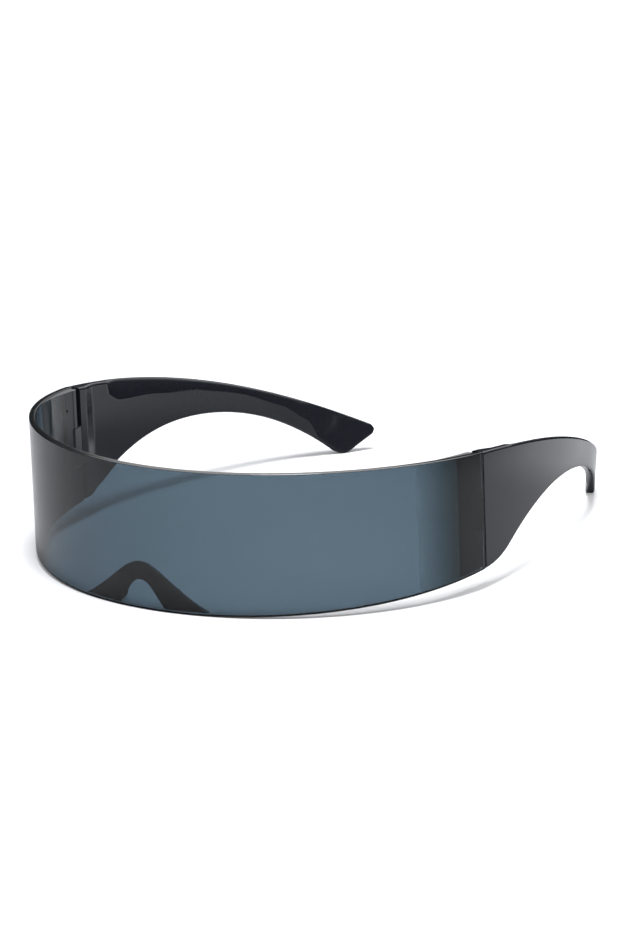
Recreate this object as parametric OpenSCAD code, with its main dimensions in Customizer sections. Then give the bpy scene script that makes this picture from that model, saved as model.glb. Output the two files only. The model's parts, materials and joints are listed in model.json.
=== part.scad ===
// Wrap-around shield sunglasses, standing on the lens foot and both temple tips.
// X runs across the face, with the wearer's left at +X. Y runs back along the temples.
// The glasses are drawn upright, with Z along the hinge pins, and then tipped to rest.

/* [Lens] */
// Outer radius of the wrap-around lens
lens_radius = 73; // [68:0.5:80]
// Angle from the nose to each end of the lens, in degrees
lens_half_angle = 84; // [78:1:88]
// Height of the lens at the nose
lens_height = 41.5; // [36:0.5:48]
// Thickness of the lens
lens_thickness = 2; // [1.6:0.1:2.4]
// How far the top edge falls from the nose to the hinge seam
top_edge_fall = 3.7; // [1:0.1:6]
// How far the bottom edge rises from the nose to the hinge seam
bottom_edge_rise = 3.9; // [2:0.1:6]
// Radius of the faint bow of the two long edges, seen from the side
edge_bow_radius = 1050; // [600:10:2000]
// Width of the flat foot under the nose
foot_width = 40; // [24:1:56]

/* [End pieces] */
// Length of each end piece along the lens, in front of the seam
endpiece_length = 24; // [18:0.5:30]
// Thickness of the end piece at its thin front edge
endpiece_edge = 0.15; // [0.1:0.05:0.4]
// How far the end piece stays inside the long edges of the lens
endpiece_inset = 0.3; // [0.1:0.1:1]
// Film of glue between the lens and what is bonded to it
bond_gap = 0.05; // [0.02:0.01:0.1]
// Diameter of the small moulding mark on the end piece
mark_diameter = 1; // [0.6:0.1:1.6]
// Depth of the moulding mark
mark_depth = 0.3; // [0.1:0.1:0.5]
// Distance of the moulding mark in front of the seam
mark_ahead = 7.7; // [6.5:0.1:9]
// Height of the moulding mark above the nose edge of the lens
mark_height = 32.5; // [29:0.5:35]

/* [Hinge] */
// Distance of the hinge pin in front of the seam
pin_ahead = 3.6; // [3.2:0.1:4.4]
// Depth of the hinge pin behind the outer face of the lens
pin_depth = 3.3; // [3.2:0.1:3.6]
// Diameter of the hinge pin
pin_diameter = 1; // [0.8:0.05:1.1]
// Play around the pin in the temple knuckle
pin_play = 0.05; // [0.03:0.01:0.08]
// Diameter of the head of the pin
pin_head_diameter = 1.6; // [1.4:0.05:1.8]
// Height of the head of the pin
pin_head_height = 0.5; // [0.3:0.1:1]
// Solid cap left above the blind pin bore
pin_cap = 1.5; // [1:0.1:3]
// Radius of the knuckles around the pin
knuckle_radius = 1.05; // [0.95:0.05:1.1]
// Height of the gap between the lower and middle knuckles
knuckle_low = 15; // [12:0.5:18]
// Height of the gap between the middle and upper knuckles
knuckle_high = 26.2; // [23:0.5:29]
// Clear gap between knuckles that turn past each other
knuckle_gap = 0.25; // [0.15:0.05:0.4]
// How far the end piece reaches behind the pin
knuckle_tail = 2.2; // [1.4:0.1:2.4]

/* [Temples] */
// Clear seam between the lens and the temple, on the outside
seam_gap = 0.3; // [0.2:0.05:0.5]
// How much wider the seam is on the inside
seam_flare = 0.7; // [0.3:0.1:1.2]
// Thickness of the hinge block at the front of the temple
block_thickness = 4.3; // [4:0.1:5]
// Length of the hinge block behind the seam
block_length = 3.6; // [3:0.1:6]
// Length of the slope from the hinge block down to the blade
block_slope = 4.6; // [2:0.2:10]
// Thickness of the temple blade
temple_thickness = 2.8; // [2:0.1:3.4]
// Length of the gently curved front stretch of the temple
front_stretch = 76; // [66:1:86]
// Radius of the front stretch, seen from above
front_bend_radius = 225; // [190:5:300]
// Length of the rear stretch that hugs the head
rear_stretch = 41; // [34:1:46]
// Radius of the rear stretch, seen from above
rear_bend_radius = 100; // [80:2:140]
// Radius of the long curve of the top edge, seen from the side
top_curve_radius = 300; // [280:5:330]
// Slope of the top edge where it leaves the hinge, in degrees
top_curve_slope = 5.9; // [4:0.1:7]

/* [Temple underside] */
// Distance of the peak of the underside arch behind the seam
arch_place = 46.5; // [42:0.5:50]
// Height of the peak of the arch
arch_height = 16.9; // [14:0.1:18]
// Radius of the front half of the arch
arch_front_radius = 65; // [56:1:75]
// Radius of the rear half of the arch
arch_rear_radius = 81; // [78:1:84]
// Radius of the corner under the hinge block
heel_radius = 25; // [18:1:28]
// Distance of the lowest point of the ear tip behind the seam
tip_place = 103.5; // [102:0.5:105]
// Radius of the underside of the ear tip
tip_radius = 4; // [3:0.25:5]
// Upward slope of the end of the ear tip, in degrees
tip_slope = 30; // [20:1:40]
// Radius of the rounded end of the ear tip
tip_end_radius = 2; // [1.5:0.1:3]

/* [Nose piece] */
// Half of the width of the bell-shaped flange
bell_half_width = 20.5; // [18:0.5:24]
// Height of the bell-shaped flange
bell_height = 13.2; // [11:0.2:18]
// Thickness of the flange
bell_thickness = 1.3; // [1:0.1:1.8]
// Half of the width of the arch that the nose goes into
nose_half_width = 7.6; // [6:0.2:9]
// Height of the arch that the nose goes into
nose_height = 8; // [6:0.2:10]
// Clearance of the nose piece above the surface that the glasses stand on
nose_clear = 0.4; // [0.2:0.1:1]
// How far the nose pads reach behind the flange
pad_reach = 5; // [4.5:0.1:7]
// Height of the nose pads
pad_height = 5.4; // [4.4:0.1:6]
// Thickness of the nose pads
pad_thickness = 1.6; // [1.2:0.1:2.4]
// How far each pad leans outwards over its reach
pad_splay = 0.9; // [0.5:0.1:1.5]
// Handles of the curve of the bell, as shares of its half width and height
bell_shares = [0.25, 0.43, 0.55];
// Handles of the curve of the nose arch, as shares of its half width and height
gap_shares = [0.55, 0.62, 0.4];

/* [Hidden] */
$fn = 96;
// Overrun that lets a cut pass clean through what it cuts
over = lens_thickness;
inner_radius = lens_radius - lens_thickness;
bond_radius = inner_radius - bond_gap;
// Place of the seam on the outer face of the lens, seen from above
seam = [lens_radius * sin(lens_half_angle), lens_radius * (1 - cos(lens_half_angle))];
seam_top = lens_height - top_edge_fall;
seam_bottom = bottom_edge_rise;
// Place of the hinge pin, seen from above
pin_radius_place = lens_radius - pin_depth;
pin_angle = lens_half_angle - lens_angle(pin_ahead);
pin_place = [pin_radius_place * sin(pin_angle), lens_radius - pin_radius_place * cos(pin_angle)];
pin_bottom = seam_bottom + endpiece_inset + pin_head_height;
pin_top = seam_top - endpiece_inset - pin_cap;
front_bore_radius = pin_diameter / 2 + pin_play / 2;
// Radius that the temple knuckle needs around the pin
slot_radius = knuckle_radius + knuckle_gap;
// Thick end of the wedge, just inside the face of the knuckle that it runs into
wedge_end = pin_angle + lens_angle(knuckle_radius / 2);
wedge_radius = pin_radius_place - knuckle_radius + bond_gap;
temple_bore_radius = pin_diameter / 2 + pin_play;
// Centres and turning angles of the two stretches of a temple, seen from above
front_turn = front_stretch / front_bend_radius * 180 / PI;
rear_turn = front_turn + rear_stretch / rear_bend_radius * 180 / PI;
front_centre = seam - [front_bend_radius, 0];
rear_centre = front_centre + (front_bend_radius - rear_bend_radius) * heading(front_turn);
temple_end = rear_centre + rear_bend_radius * heading(rear_turn);
// Direction from the seam to the end of the temple, measured from straight back
chord_turn = atan2(seam.x - temple_end.x, temple_end.y - seam.y);
chord_length = norm(temple_end - seam);
// Circles of the side outline of a temple, as distance behind the seam and height
top_centre = [-top_curve_radius * sin(top_curve_slope),
              seam_top - top_curve_radius * cos(top_curve_slope)];
arch_front_centre = [arch_place, arch_height - arch_front_radius];
arch_rear_centre = [arch_place, arch_height - arch_rear_radius];
heel_rise = seam_bottom + heel_radius - arch_front_centre.y;
heel_centre = [arch_place - sqrt(pow(arch_front_radius + heel_radius, 2) - pow(heel_rise, 2)),
               seam_bottom + heel_radius];
heel_turn = atan2(heel_rise, heel_centre.x - arch_place);
tip_reach = tip_place - arch_place;
tip_centre = [tip_place, arch_rear_centre.y
              + sqrt(pow(arch_rear_radius + tip_radius, 2) - pow(tip_reach, 2))];
tip_turn = atan2(tip_centre.y - arch_rear_centre.y, tip_reach);
tail_start = tip_centre + (tip_radius - tip_end_radius) * heading(tip_slope - 90) - top_centre;
tail_along = tail_start * heading(tip_slope);
tail_length = sqrt(pow(tail_along, 2) - tail_start * tail_start
                   + pow(top_curve_radius - tip_end_radius, 2)) - tail_along;
tail_centre = top_centre + tail_start + tail_length * heading(tip_slope);
tail_turn = atan2(tail_centre.y - top_centre.y, tail_centre.x - top_centre.x);
// Tilt about X that brings the ear tips down to the plane of the lens foot
tip_back = seam.y + tip_place * cos(chord_turn);
rest_tilt = asin(tip_radius / norm([tip_back, tip_centre.y])) - atan2(tip_centre.y, tip_back);
// Depth of the flat foot, and how far the whole object moves to stand at its middle
foot_depth = lens_radius - sqrt(pow(lens_radius, 2) - pow(foot_width / 2, 2));
front_most = -lens_height * sin(rest_tilt);
rear_most = (seam.y + chord_length * cos(chord_turn)) * cos(rest_tilt) - tail_centre.y * sin(rest_tilt);
middle_back = (front_most + rear_most) / 2;

function heading(angle) = [cos(angle), sin(angle)];
// Angle, seen from the centre of the lens, that a length along its outer face takes up
function lens_angle(length) = length / lens_radius * 180 / PI;
function arc(centre, radius, from, to, steps) =
    [for (i = [0 : steps]) centre + radius * heading(from + (to - from) * i / steps)];
// Centre of a circle through two points, on the side that turns clockwise from p to q
function bow_centre(p, q, radius) =
    let (half = (q - p) / 2, side = [half.y, -half.x] / norm(half))
    p + half + side * sqrt(pow(radius, 2) - half * half);
function bezier(p, t) = pow(1 - t, 3) * p[0] + 3 * t * pow(1 - t, 2) * p[1]
    + 3 * t * t * (1 - t) * p[2] + pow(t, 3) * p[3];
function bezier_points(p, steps) = [for (i = [0 : steps]) bezier(p, i / steps)];

// Tips the upright glasses onto their foot and ear tips, and centres them
module stand() {
    translate([0, -middle_back, 0])
        rotate([rest_tilt, 0, 0])
            children();
}

module on_side(side) {
    if (side > 0) children();
    else mirror([1, 0, 0]) children();
}

// Turns a drawing of distance back and height into a slab across the whole face
module side_slab() {
    rotate([90, 0, 90])
        linear_extrude(height = 2 * (lens_radius + over), center = true)
            children();
}

// Everything between the two long edges of the lens, drawn in by an inset
module edge_band(inset) {
    foot_end = [foot_depth, -foot_depth * tan(rest_tilt)];
    seam_low = [seam.y, seam_bottom];
    side_slab()
        intersection() {
            translate(bow_centre([0, lens_height], [seam.y, seam_top], edge_bow_radius))
                circle(r = edge_bow_radius - inset, $fn = 720);
            translate(bow_centre(seam_low, foot_end, edge_bow_radius))
                circle(r = edge_bow_radius - inset, $fn = 720);
            rotate(-rest_tilt)
                translate([-over, inset])
                    square([lens_radius + 2 * over, lens_height + over]);
        }
}

// Slice of the lens circle between two angles from the nose
module lens_wedge(from, to) {
    reach = 2 * lens_radius;
    translate([0, lens_radius])
        polygon([[0, 0], reach * heading(from - 90), reach * heading(to - 90)]);
}

module lens_disc(radius) {
    translate([0, lens_radius]) circle(r = radius, $fn = 360);
}

module shield_lens() {
    color([0.36, 0.42, 0.48, 0.85])
        stand()
            intersection() {
                linear_extrude(height = 3 * lens_height, center = true)
                    difference() {
                        lens_disc(lens_radius);
                        lens_disc(inner_radius);
                        lens_cut_behind();
                    }
                edge_band(0);
            }
}

// The part of the plan behind both seams
module lens_cut_behind() {
    reach = 2 * lens_radius;
    translate([0, lens_radius])
        polygon([[0, 0], reach * heading(lens_half_angle - 90), [reach, reach], [-reach, reach],
                 reach * heading(-90 - lens_half_angle)]);
}

// Frame at a hinge pin: X points out through the lens and Y points back along it
module at_pin() {
    translate(pin_place)
        rotate(pin_angle - 90)
            children();
}

// Outline of an end piece seen from above: a wedge that thickens evenly towards the hinge
module endpiece_plan() {
    start_angle = lens_half_angle - lens_angle(endpiece_length);
    centre = [0, lens_radius];
    thin_end = centre + (bond_radius - endpiece_edge) * heading(start_angle - 90);
    thick_end = centre + wedge_radius * heading(wedge_end - 90);
    intersection() {
        lens_disc(bond_radius);
        union() {
            difference() {
                lens_wedge(start_angle, wedge_end);
                translate(bow_centre(thick_end, thin_end, bond_radius))
                    circle(r = bond_radius, $fn = 360);
            }
            at_pin() {
                circle(r = knuckle_radius);
                translate([0, knuckle_tail - knuckle_radius])
                    circle(r = knuckle_radius);
                translate([-knuckle_radius, 0])
                    square([2 * pin_depth, knuckle_tail - knuckle_radius]);
                square([2 * pin_depth, knuckle_tail]);
            }
        }
    }
}

// Room for the middle knuckle and its arm, seen from above, through the whole swing
module slot_plan() {
    inwards = pin_depth + over;
    at_pin() {
        circle(r = slot_radius);
        translate([-inwards, -slot_radius])
            square([inwards + slot_radius / 3, slot_radius + pin_ahead + over]);
        square([inwards, pin_ahead + over]);
    }
}

module endpiece(side) {
    slot_bottom = knuckle_low - knuckle_gap / 2;
    slot_height = knuckle_high - knuckle_low + knuckle_gap;
    mark_angle = lens_half_angle - lens_angle(mark_ahead);
    mark_share = (endpiece_length - mark_ahead) / (endpiece_length - pin_ahead);
    thin_radius = bond_radius - endpiece_edge;
    mark_radius = thin_radius + (wedge_radius - thin_radius) * mark_share + mark_depth;
    color([0.06, 0.06, 0.07])
        stand()
            on_side(side)
                difference() {
                    intersection() {
                        linear_extrude(height = 3 * lens_height, center = true)
                            endpiece_plan();
                        edge_band(endpiece_inset);
                    }
                    translate([0, 0, slot_bottom])
                        linear_extrude(height = slot_height)
                            slot_plan();
                    translate([pin_place.x, pin_place.y, -over])
                        cylinder(r = front_bore_radius, h = pin_top + over, $fn = 48);
                    translate([pin_place.x, pin_place.y, -over])
                        cylinder(d = pin_head_diameter + pin_play, h = pin_bottom + over, $fn = 48);
                    translate([0, lens_radius, mark_height])
                        rotate([0, 90, mark_angle - 90])
                            cylinder(d = mark_diameter, h = mark_radius, $fn = 32);
                }
}

module hinge_pin(side) {
    color([0.75, 0.76, 0.78])
        stand()
            on_side(side)
                translate([pin_place.x, pin_place.y, pin_bottom]) {
                    cylinder(d = pin_diameter, h = pin_top - pin_bottom - pin_play, $fn = 48);
                    translate([0, 0, -pin_head_height])
                        cylinder(d = pin_head_diameter, h = pin_head_height, $fn = 48);
                }
}

// Outline of a temple seen from above, with its thick hinge block
module temple_plan() {
    inner_face = seam.x - block_thickness;
    block_end = seam.y + block_length;
    slope_end = block_end + block_slope;
    outside = seam.x + over;
    front_inside = front_bend_radius - temple_thickness;
    rear_inside = rear_bend_radius - temple_thickness;
    difference() {
        intersection() {
            translate(front_centre) circle(r = front_bend_radius, $fn = 720);
            translate(front_centre)
                polygon([[0, 0], [2 * front_bend_radius, 0], 2 * front_bend_radius * heading(front_turn)]);
        }
        difference() {
            translate(front_centre) circle(r = front_inside, $fn = 720);
            polygon([[outside, seam.y - over], [inner_face, seam.y - over], [inner_face, block_end],
                     [seam.x - temple_thickness, slope_end], [outside, slope_end]]);
        }
        polygon([[outside, seam.y - over], [outside, seam.y + seam_gap], [seam.x, seam.y + seam_gap],
                 [inner_face - over, seam.y + seam_gap + seam_flare],
                 [inner_face - over, seam.y - over]]);
    }
    translate(rear_centre)
        difference() {
            intersection() {
                circle(r = rear_bend_radius, $fn = 360);
                polygon([[0, 0], 2 * rear_bend_radius * heading(front_turn),
                         2 * rear_bend_radius * heading(rear_turn)]);
            }
            circle(r = rear_inside, $fn = 360);
        }
}

// Side outline of a temple: heel, arch, ear tip and the long top edge
module temple_side() {
    front = -pin_ahead;
    top_start = acos((front - top_centre.x) / top_curve_radius);
    polygon(concat(
        [[front, seam_bottom]],
        arc(heel_centre, heel_radius, -90, heel_turn - 180, 6),
        arc(arch_front_centre, arch_front_radius, heel_turn, 90, 8),
        arc(arch_rear_centre, arch_rear_radius, 90, tip_turn, 10),
        arc(tip_centre, tip_radius, tip_turn - 180, tip_slope - 90, 8),
        arc(tail_centre, tip_end_radius, tip_slope - 90, tail_turn, 10),
        arc(top_centre, top_curve_radius, tail_turn, top_start, 16)));
}

module temple(side) {
    middle_bottom = knuckle_low + knuckle_gap / 2;
    middle_height = knuckle_high - knuckle_low - knuckle_gap;
    arm_outside = knuckle_radius - knuckle_gap;
    arm_length = pin_ahead + seam_gap + seam_flare + block_length / 2;
    color([0.05, 0.05, 0.06])
        stand()
            on_side(side)
                difference() {
                    union() {
                        intersection() {
                            linear_extrude(height = 3 * lens_height, center = true)
                                temple_plan();
                            translate(seam)
                                rotate([90, 0, 90 + chord_turn])
                                    linear_extrude(height = lens_radius, center = true)
                                        temple_side();
                        }
                        translate([0, 0, middle_bottom])
                            linear_extrude(height = middle_height)
                                at_pin() {
                                    circle(r = knuckle_radius);
                                    translate([-knuckle_radius, 0])
                                        square([knuckle_radius + arm_outside, arm_length]);
                                }
                    }
                    translate([pin_place.x, pin_place.y, 0])
                        cylinder(r = temple_bore_radius, h = lens_height, $fn = 48);
                }
}

// Bell outline with the arch for the nose cut out of it
module bell_outline() {
    bell = [[0, bell_height], [bell_half_width * bell_shares[0], bell_height],
            [bell_half_width * bell_shares[1], bell_height * bell_shares[2]],
            [bell_half_width, nose_clear]];
    gap = [[nose_half_width, nose_clear],
           [nose_half_width * gap_shares[0], nose_height * gap_shares[1]],
           [nose_half_width * gap_shares[2], nose_height], [0, nose_height]];
    for (turn = [0, 1])
        mirror([turn, 0])
            polygon(concat(bezier_points(bell, 14), bezier_points(gap, 10)));
}

// Nose pad on one side: a thin upright wing with a round rear end
module nose_pad() {
    root = [nose_half_width + pad_thickness / 2, lens_thickness + bond_gap + bell_thickness];
    lean = atan2(pad_splay, pad_reach);
    end_radius = pad_height / 2;
    intersection() {
        translate(root)
            rotate(90 - lean) {
                translate([0, -pad_thickness / 2])
                    linear_extrude(height = lens_height)
                        square([pad_reach - pad_thickness / 2, pad_thickness]);
                translate([pad_reach - pad_thickness / 2, 0])
                    cylinder(d = pad_thickness, h = lens_height, $fn = 48);
            }
        side_slab()
            translate([0, nose_clear]) {
                square([pad_reach + root.y - end_radius, pad_height]);
                translate([pad_reach + root.y - end_radius, end_radius])
                    circle(r = end_radius);
            }
    }
}

module nose_piece() {
    depth = lens_thickness + bell_half_width;
    color([0.1, 0.11, 0.12])
        stand() {
            intersection() {
                linear_extrude(height = lens_height)
                    difference() {
                        lens_disc(bond_radius);
                        lens_disc(bond_radius - bell_thickness);
                    }
                translate([0, depth, 0])
                    rotate([90, 0, 0])
                        linear_extrude(height = depth)
                            bell_outline();
            }
            for (side = [-1, 1])
                on_side(side)
                    nose_pad();
        }
}

shield_lens();
nose_piece();
endpiece(1);  // endpiece_left
endpiece(-1);  // endpiece_right
hinge_pin(1);  // hinge_pin_left
hinge_pin(-1);  // hinge_pin_right
temple(1);  // temple_left
temple(-1);  // temple_right
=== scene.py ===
"""Looks of a pair of wrap-around shield sunglasses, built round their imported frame."""

import json
import math

import bmesh
import bpy
from bpy.props import FloatProperty, FloatVectorProperty, IntProperty, PointerProperty
from bpy.types import Operator, Panel, PropertyGroup
from mathutils import Matrix, Vector


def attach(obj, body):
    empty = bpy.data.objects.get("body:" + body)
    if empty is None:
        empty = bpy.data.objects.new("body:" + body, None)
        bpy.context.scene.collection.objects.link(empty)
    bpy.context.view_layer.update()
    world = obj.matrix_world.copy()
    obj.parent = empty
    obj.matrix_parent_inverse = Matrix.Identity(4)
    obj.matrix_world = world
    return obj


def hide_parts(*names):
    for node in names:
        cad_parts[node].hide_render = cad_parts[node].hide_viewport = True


bl_info = {
    "name": "Shield sunglasses",
    "version": (1, 0, 0),
    "blender": (4, 5, 0),
    "location": "View3D > Sidebar > Glasses",
    "description": "Builds a pair of wrap-around shield sunglasses and their studio",
    "category": "Object",
}

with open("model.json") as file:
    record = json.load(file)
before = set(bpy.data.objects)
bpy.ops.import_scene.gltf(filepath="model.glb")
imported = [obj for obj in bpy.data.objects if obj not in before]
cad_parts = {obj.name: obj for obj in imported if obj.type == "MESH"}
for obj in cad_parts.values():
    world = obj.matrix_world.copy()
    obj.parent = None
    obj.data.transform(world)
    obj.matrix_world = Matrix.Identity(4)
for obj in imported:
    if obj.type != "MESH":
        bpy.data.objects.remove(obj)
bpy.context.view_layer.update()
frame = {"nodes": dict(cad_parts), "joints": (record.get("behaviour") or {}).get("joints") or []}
SIDES = {"left": 1, "right": -1}
EVEN = (1, 1, 1)  # stretch of a grain that is the same in every direction
WHITE = (1, 1, 1, 1)
HALVINGS = 40  # steps of a search that halves its range
WELD = 1e-7  # distance within which points count as one
CAD_WELD = 1e-6  # the same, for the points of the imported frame
CAD_FLAT = math.radians(0.6)  # bend below which neighbouring CAD triangles count as one face
CUT_EDGE_RISE = 0.3  # least rise or fall of the normals on the lens's cut edges
PAINTED_TOP_LIGHT_RISE = 0.9  # least rise of the normals on the tops of the hinge blocks, which get the painted overhead light


# Sizes and colours


def length(name, description, default):
    return FloatProperty(name=name, description=description, default=default, unit="LENGTH", precision=5)


def angle(name, description, degrees):
    return FloatProperty(name=name, description=description, default=math.radians(degrees),
                         subtype="ANGLE", unit="ROTATION")


def share(name, description, default):
    return FloatProperty(name=name, description=description, default=default, subtype="FACTOR",
                         min=0, max=1, precision=4)


def colour(name, description, default):
    return FloatVectorProperty(name=name, description=description, default=default, subtype="COLOR",
                               size=3, min=0, max=1)


def location(name, description, default):
    return FloatVectorProperty(name=name, description=description, default=default, size=3,
                               subtype="TRANSLATION", unit="LENGTH")


def changeover(name, description, default, unit="LENGTH"):
    """Two values between which something changes over."""
    return FloatVectorProperty(name=name, description=description, default=default, size=2,
                               unit=unit, precision=5)


def places_along(name, description, default):
    return FloatVectorProperty(name=name, description=description, default=default, size=len(default),
                               unit="LENGTH", precision=5)


def amount(name, description, default):
    return FloatProperty(name=name, description=description, default=default)


class LensSizes(PropertyGroup):
    radius: length("Radius", "Outer radius of the lens", 0.073)
    half_angle: angle("Half angle", "Angle from the nose to each end of the lens", 84)
    height: length("Height", "Height of the lens at the nose", 0.0415)
    thickness: length("Thickness", "Thickness of the lens", 0.002)
    top_fall: length("Top fall", "Fall of the top edge from the nose to the seam", 0.0037)
    bottom_rise: length("Bottom rise", "Rise of the bottom edge from the nose to the seam", 0.0039)
    bow_radius: length("Edge bow", "Radius of the long edges, seen from the side", 1.05)
    foot_width: length("Foot width", "Width of the flat foot under the nose", 0.04)
    edge_radius: length("Edge radius", "Rounding of the polished edges", 0.00035)
    steps: IntProperty(name="Steps", description="Stations along the lens", default=220, min=24)


class HingeSizes(PropertyGroup):
    pin_ahead: length("Pin ahead", "Distance of the pin in front of the seam", 0.0036)
    pin_depth: length("Pin depth", "Depth of the pin behind the outer face", 0.0033)
    bore_radius: length("Bore radius", "Radius of the bore in the temple knuckle", 0.00055)
    knuckle_radius: length("Knuckle radius", "Radius of the knuckles round the pin", 0.00105)
    knuckle_low: length("Middle knuckle, low", "Height of the middle knuckle's lower gap", 0.015)
    knuckle_high: length("Middle knuckle, high", "Height of the middle knuckle's upper gap", 0.0262)
    knuckle_gap: length("Knuckle gap", "Gap between knuckles that turn past each other", 0.00025)
    dark_from: length("Dark block", "How far before the glasses' middle the opaque block begins", 0.0295)
    wedge_length: length("Wedge length", "Length of the thin front part of the end pieces", 0.016)
    wedge_kept: share("Wedge kept", "Share of the wedge's thickness that is left near its front", 0.45)
    front_kept: share("Front kept", "Share of the wedge's thickness that is left at its front edge", 0.3)
    front_strip: FloatProperty(name="Front strip", description="Angle that the front edge takes up",
                               default=0.004, subtype="ANGLE", unit="ROTATION")
    glue_skin: length("Glued skin", "Depth of the wedge's outside that stays on the lens", 0.0001)
    arm_round: length("Arm rounding", "Rounding of the knuckle's edges", 0.00012)


class PinSizes(PropertyGroup):
    radius: length("Pin radius", "Radius of the pin", 0.0005)
    head_radius: length("Head radius", "Radius of the pin's head", 0.0008)
    head_height: length("Head height", "Height of the pin's head", 0.0005)
    dome: length("Dome", "Rise of the dome on the head", 0.00018)
    dimple: length("Dimple", "Depth of the dimple in the head", 0.00022)
    dimple_flat: share("Dimple flat", "Radius of the dimple's bottom, as a share of the head's", 0.12)
    dimple_width: share("Dimple width", "Radius of the dimple, as a share of the head's", 0.34)
    chamfer: length("Chamfer", "Chamfer of the pin's edges", 0.00008)
    inset: length("Inset", "Distance of the pin's ends inside the lens edges", 0.0003)
    cap: length("Cap", "Material above the pin", 0.00155)


class TempleSizes(PropertyGroup):
    seam_gap: length("Seam gap", "Seam between lens and temple, outside", 0.0002)
    seam_flare: length("Seam flare", "How much wider the seam is inside", 0.0007)
    block_thickness: length("Block thickness", "Thickness of the hinge block", 0.0043)
    block_length: length("Block length", "Length of the hinge block", 0.0036)
    block_slope: length("Block slope", "Length of the slope to the blade", 0.0046)
    thickness: length("Thickness", "Thickness of the temple blade", 0.0028)
    front_stretch: length("Front stretch", "Length of the gently curved stretch", 0.076)
    front_radius: length("Front radius", "Radius of the front stretch, from above", 0.225)
    rear_stretch: length("Rear stretch", "Length of the stretch that hugs the head", 0.041)
    rear_radius: length("Rear radius", "Radius of the rear stretch, from above", 0.1)
    top_radius: length("Top radius", "Radius of the top edge, from the side", 0.3)
    top_slope: angle("Top slope", "Slope of the top edge at the hinge", 5.9)
    arch_place: length("Arch place", "Distance of the arch's peak behind the seam", 0.0465)
    arch_height: length("Arch height", "Height of the arch's peak", 0.0169)
    arch_front: length("Arch front radius", "Radius of the front half of the arch", 0.065)
    arch_rear: length("Arch rear radius", "Radius of the rear half of the arch", 0.081)
    heel_radius: length("Heel radius", "Radius under the hinge block", 0.025)
    tip_place: length("Tip place", "Distance of the ear tip's low point", 0.1035)
    tip_radius: length("Tip radius", "Radius of the ear tip's underside", 0.004)
    tip_slope: angle("Tip slope", "Upward slope of the end of the tip", 30)
    end_radius: length("End radius", "Radius of the rounded end", 0.002)
    edge_radius: length("Edge radius", "Rounding of the long edges", 0.0007)
    front_round: length("Front rounding", "Rounding of the seam face's edges", 0.00015)
    station: length("Station", "Spacing of the sections along the blade", 0.0012)
    band_places: places_along("Band places", "Distances behind the seam along the sloped inner band",
                              (0.0155, 0.021, 0.038, 0.055, 0.07, 0.085, 0.093, 0.099))
    band_widths: places_along("Band widths", "Widths of the sloped band under the top edge, there",
                              (0.0042, 0.0061, 0.0047, 0.0029, 0.0024, 0.0034, 0.0056, 0.014))
    band_start: length("Band start", "Length over which the sloped band begins", 0.0012)
    band_slope: share("Band slope", "Slope of the band where it leaves the flat face", 0.16)
    band_roll: share("Band roll", "How much steeper the band is at the top edge", 0.8)
    band_power: amount("Band power", "How late the band rolls over", 5)
    band_limit: length("Band limit", "Most that the band takes from the thickness", 0.0018)
    tip_twist: share("Tip twist", "How far the ear tip leans outwards, per unit of height", 0.08)
    twist_run: changeover("Twist run", "Distances behind the seam over which the tip begins to lean",
                          (0.085, 0.099))


class NoseSizes(PropertyGroup):
    half_width: length("Half width", "Half of the flange's width", 0.0205)
    height: length("Height", "Height of the flange", 0.0132)
    thickness: length("Thickness", "Thickness of the flange", 0.0013)
    arch_half_width: length("Arch half width", "Half of the width of the nose arch", 0.0076)
    arch_height: length("Arch height", "Height of the nose arch", 0.008)
    clear: length("Clearance", "Height of the nose piece above the floor", 0.0004)
    bond_gap: length("Bond gap", "Room for the glue between flange and lens", 0.00005)
    edge_radius: length("Edge radius", "Rounding of the flange", 0.0004)
    pad_reach: length("Pad reach", "How far the pads reach back", 0.005)
    pad_height: length("Pad height", "Height of the pads", 0.0054)
    pad_thickness: length("Pad thickness", "Thickness of the pads", 0.0016)
    pad_splay: length("Pad splay", "How far a pad leans out over its reach", 0.0009)
    station: length("Station", "Spacing of the sections", 0.0006)
    bell_shares: FloatVectorProperty(name="Bell curve", size=3, default=(0.25, 0.43, 0.55),
                                     description="Handles of the bell, as shares of its size")
    arch_shares: FloatVectorProperty(name="Arch curve", size=3, default=(0.55, 0.62, 0.4),
                                     description="Handles of the arch, as shares of its size")


class Finish(PropertyGroup):
    lens_tint: colour("Lens tint", "Colour that the lens takes least of", (0.063, 0.223, 0.314))
    lens_density: amount("Lens density", "Absorption of the lens, per metre", 1400)
    lens_shadow: share("Lens shadow", "Light that the lens lets through to the floor", 0.7)
    smoke_tint: colour("Smoke tint", "Colour that the end pieces take least of", (0.05, 0.2, 0.2))
    smoke_density: amount("Smoke density", "Absorption of the end pieces, per metre", 1250)
    smoke_shadow: share("Smoke shadow", "Light that the end pieces let through to the floor", 0.5)
    cut_edge: colour("Cut edges", "Colour of the lens's cut edges", (0.004, 0.005, 0.006))
    cut_edge_pale: colour("Cut edges, pale", "Paler tone of the lens's cut edges", (0.007, 0.008, 0.01))
    plastic: colour("Plastic", "Colour of the temples and end pieces", (0.0115, 0.0125, 0.017))
    # The paler colour of the hinge tops is painted light from the overhead lamp, not a colour of the
    # plastic.
    top_painted_light: colour("Tops, painted light", "Colour of the rough hinge tops, paler as painted overhead light", (0.055, 0.055, 0.058))
    rubber: colour("Nose piece", "Colour of the nose piece", (0.006, 0.0065, 0.007))
    steel: colour("Steel", "Colour of the hinge pins", (0.55, 0.56, 0.58))


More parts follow.
